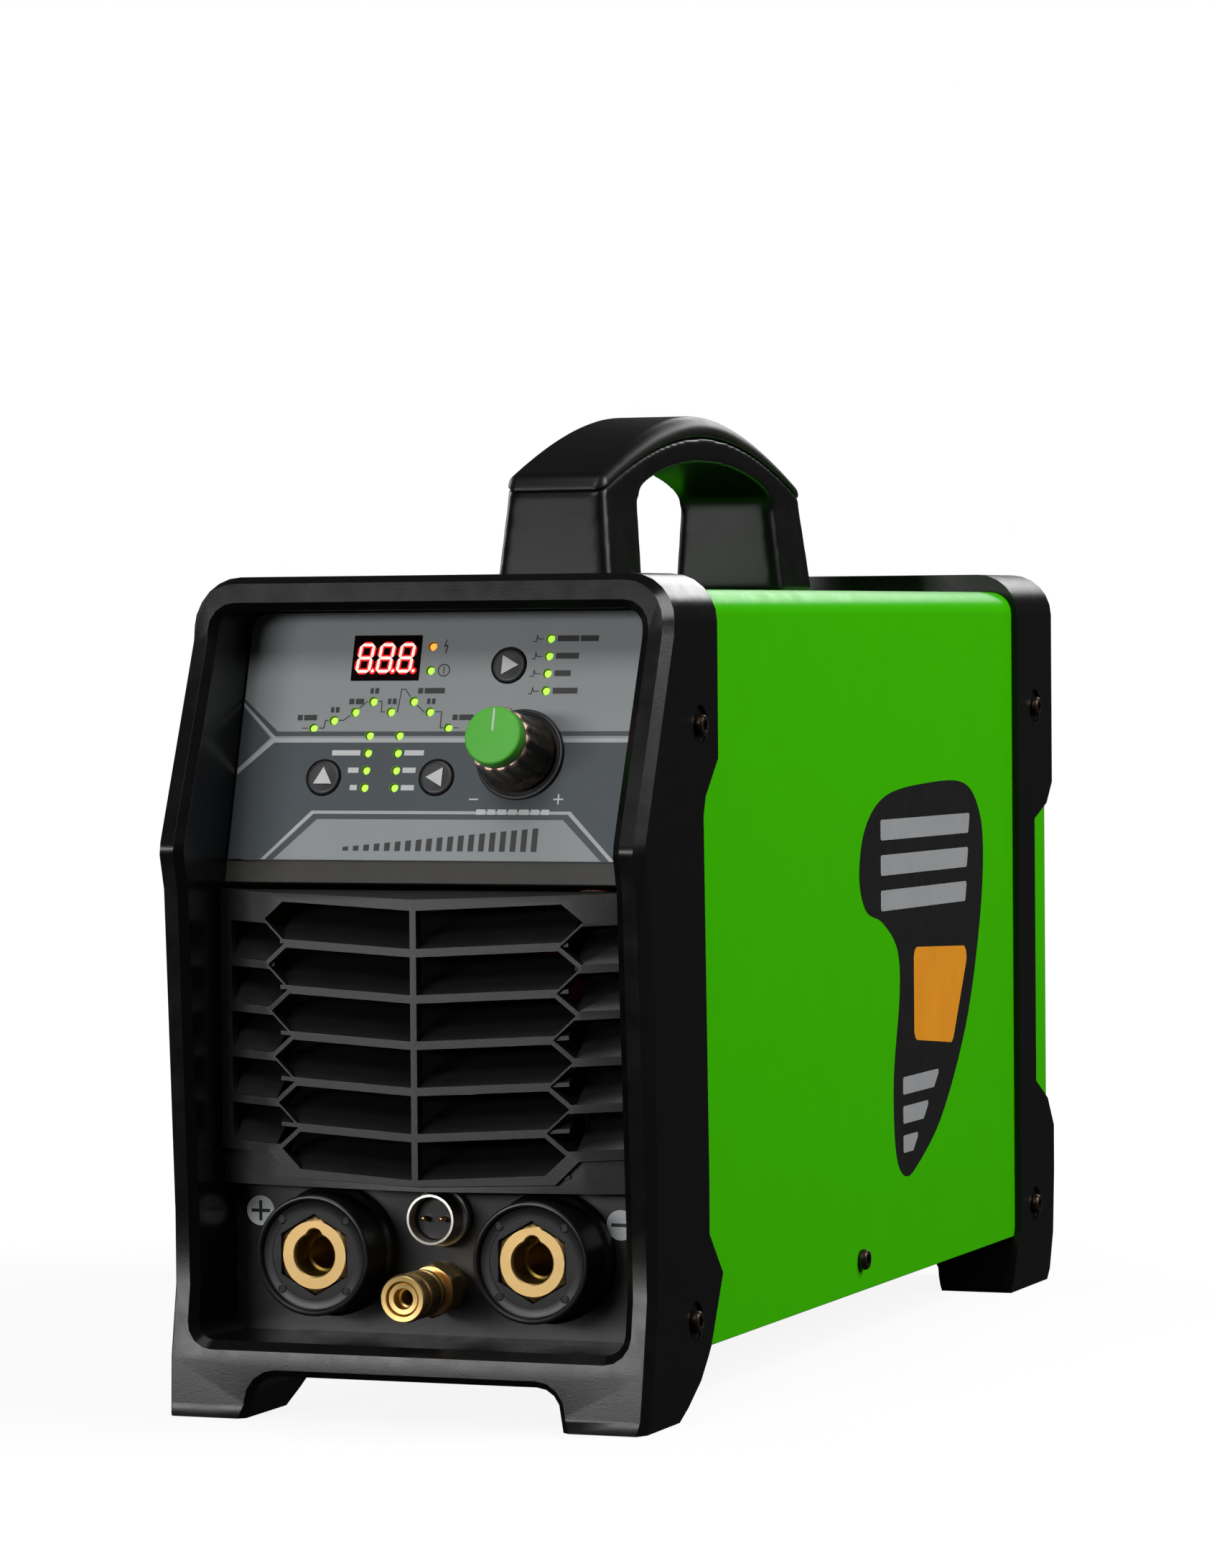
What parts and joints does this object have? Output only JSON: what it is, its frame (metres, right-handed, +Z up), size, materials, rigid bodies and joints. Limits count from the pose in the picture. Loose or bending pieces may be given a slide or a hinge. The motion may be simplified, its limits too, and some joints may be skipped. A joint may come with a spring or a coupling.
{
  "type": "tig welding machine",
  "caption": "Portable inverter power source for TIG welding: sheet cover between two moulded bezels, sloping control panel, louvred grille, output sockets and carrying handle.",
  "frame": {"origin": "centre of the overall box's bottom face, on the plane of the feet", "axes": "+X to the right seen from the front, +Y from the front panel to the rear panel, +Z up"},
  "size_m": [0.1636, 0.4588, 0.3145],
  "materials": {
    "bezel_plastic": "fine-textured charcoal moulding",
    "grille_plastic": "fine-textured dark grey moulding",
    "green_paint": "glossy powder coat",
    "overlay_film": "printed satin film in two greys",
    "plain_steel": "grey sheet steel",
    "zinc_steel": "zinc plated",
    "brass": "turned brass",
    "nickel": "nickel plated",
    "gloss_black": "smooth black",
    "button_rubber": "grey silicone key with printed arrow",
    "knob_skirt": "fluted, brown metallic sheen",
    "knob_cap": "green with white pointer line",
    "display_red": "dark red filter with lit digits",
    "circuit_board": "green solder mask",
    "dark_screw": "blackened steel",
    "alloy": "extruded heat sink",
    "ferrite": "ferrite core",
    "copper_wire": "enamelled copper wire",
    "nylon_black": "satin black nylon"
  },
  "bodies": {
    "machine": {"front_bezel": "bezel_plastic", "front_grille": "grille_plastic", "control_overlay": "overlay_film", "control_fascia": "bezel_plastic", "control_board": "circuit_board", "display_module": "display_red", "dial_plate": "nylon_black", "encoder_body": "zinc_steel", "connector_plate": "bezel_plastic", "socket_housing_negative": "nylon_black", "socket_contact_negative": "brass", "socket_housing_positive": "nylon_black", "socket_contact_positive": "brass", "torch_socket_shell": "nickel", "torch_socket_insert": "gloss_black", "gas_outlet_body": "brass", "cover": "green_paint", "base_plate": "zinc_steel", "rear_bezel": "bezel_plastic", "rear_panel": "plain_steel", "handle_frame": "gloss_black", "handle_grip": "gloss_black", "fan_frame": "gloss_black", "fan_guard": "plain_steel", "mains_switch_body": "gloss_black", "cable_gland": "nylon_black", "gas_inlet_nipple": "brass", "gas_valve": "zinc_steel", "earth_stud": "zinc_steel", "heat_sink_left": "alloy", "heat_sink_right": "alloy", "power_board": "circuit_board", "capacitor_1": "gloss_black", "capacitor_2": "gloss_black", "transformer_core": "ferrite", "transformer_winding": "copper_wire", "output_choke": "copper_wire", "hf_coil": "copper_wire", "screw_front_upper_left": "dark_screw", "screw_front_upper_right": "dark_screw", "screw_front_lower_left": "dark_screw", "screw_front_lower_right": "dark_screw", "screw_rear_upper_left": "dark_screw", "screw_rear_upper_right": "dark_screw", "screw_rear_lower_left": "dark_screw", "screw_rear_lower_right": "dark_screw", "screw_cover_left": "dark_screw", "screw_cover_right": "dark_screw"},
    "knob": {"knob_skirt": "knob_skirt", "knob_cap": "knob_cap", "encoder_shaft": "plain_steel"},
    "up_key": {"button_up": "button_rubber"},
    "left_key": {"button_left": "button_rubber"},
    "right_key": {"button_right": "button_rubber"},
    "fan_wheel": {"fan_rotor": "nylon_black"},
    "mains_rocker": {"mains_switch_rocker": "gloss_black"},
    "gas_sleeve": {"gas_outlet_sleeve": "brass"}
  },
  "joints": [
    {"name": "knob_turn", "type": "hinge", "parent": "machine", "child": "knob", "pos_m": [0.025, -0.18623, 0.20368], "axis": [0, 0.9613, -0.2756], "continuous": true},
    {"name": "up_key_press", "type": "slide", "parent": "machine", "child": "up_key", "axis": [0, 0.9613, -0.2756], "range_m": [0, 0.0006], "stiffness_N_per_m": 1500, "springref_m": -0.0004},
    {"name": "left_key_press", "type": "slide", "parent": "machine", "child": "left_key", "axis": [0, 0.9613, -0.2756], "range_m": [0, 0.0006], "stiffness_N_per_m": 1500, "springref_m": -0.0004},
    {"name": "right_key_press", "type": "slide", "parent": "machine", "child": "right_key", "axis": [0, 0.9613, -0.2756], "range_m": [0, 0.0006], "stiffness_N_per_m": 1500, "springref_m": -0.0004},
    {"name": "fan_spin", "type": "hinge", "parent": "machine", "child": "fan_wheel", "pos_m": [0, 0.1924, 0.15], "axis": [0, 1, 0], "continuous": true},
    {"name": "mains_switch_throw", "type": "hinge", "parent": "machine", "child": "mains_rocker", "pos_m": [0.038, 0.2046, 0.222], "axis": [0, 0, 1], "range_deg": [-18, 0]},
    {"name": "gas_sleeve_pull", "type": "slide", "parent": "machine", "child": "gas_sleeve", "axis": [0, 1, 0], "range_m": [0, 0.004], "stiffness_N_per_m": 900, "springref_m": -0.003}
  ]
}
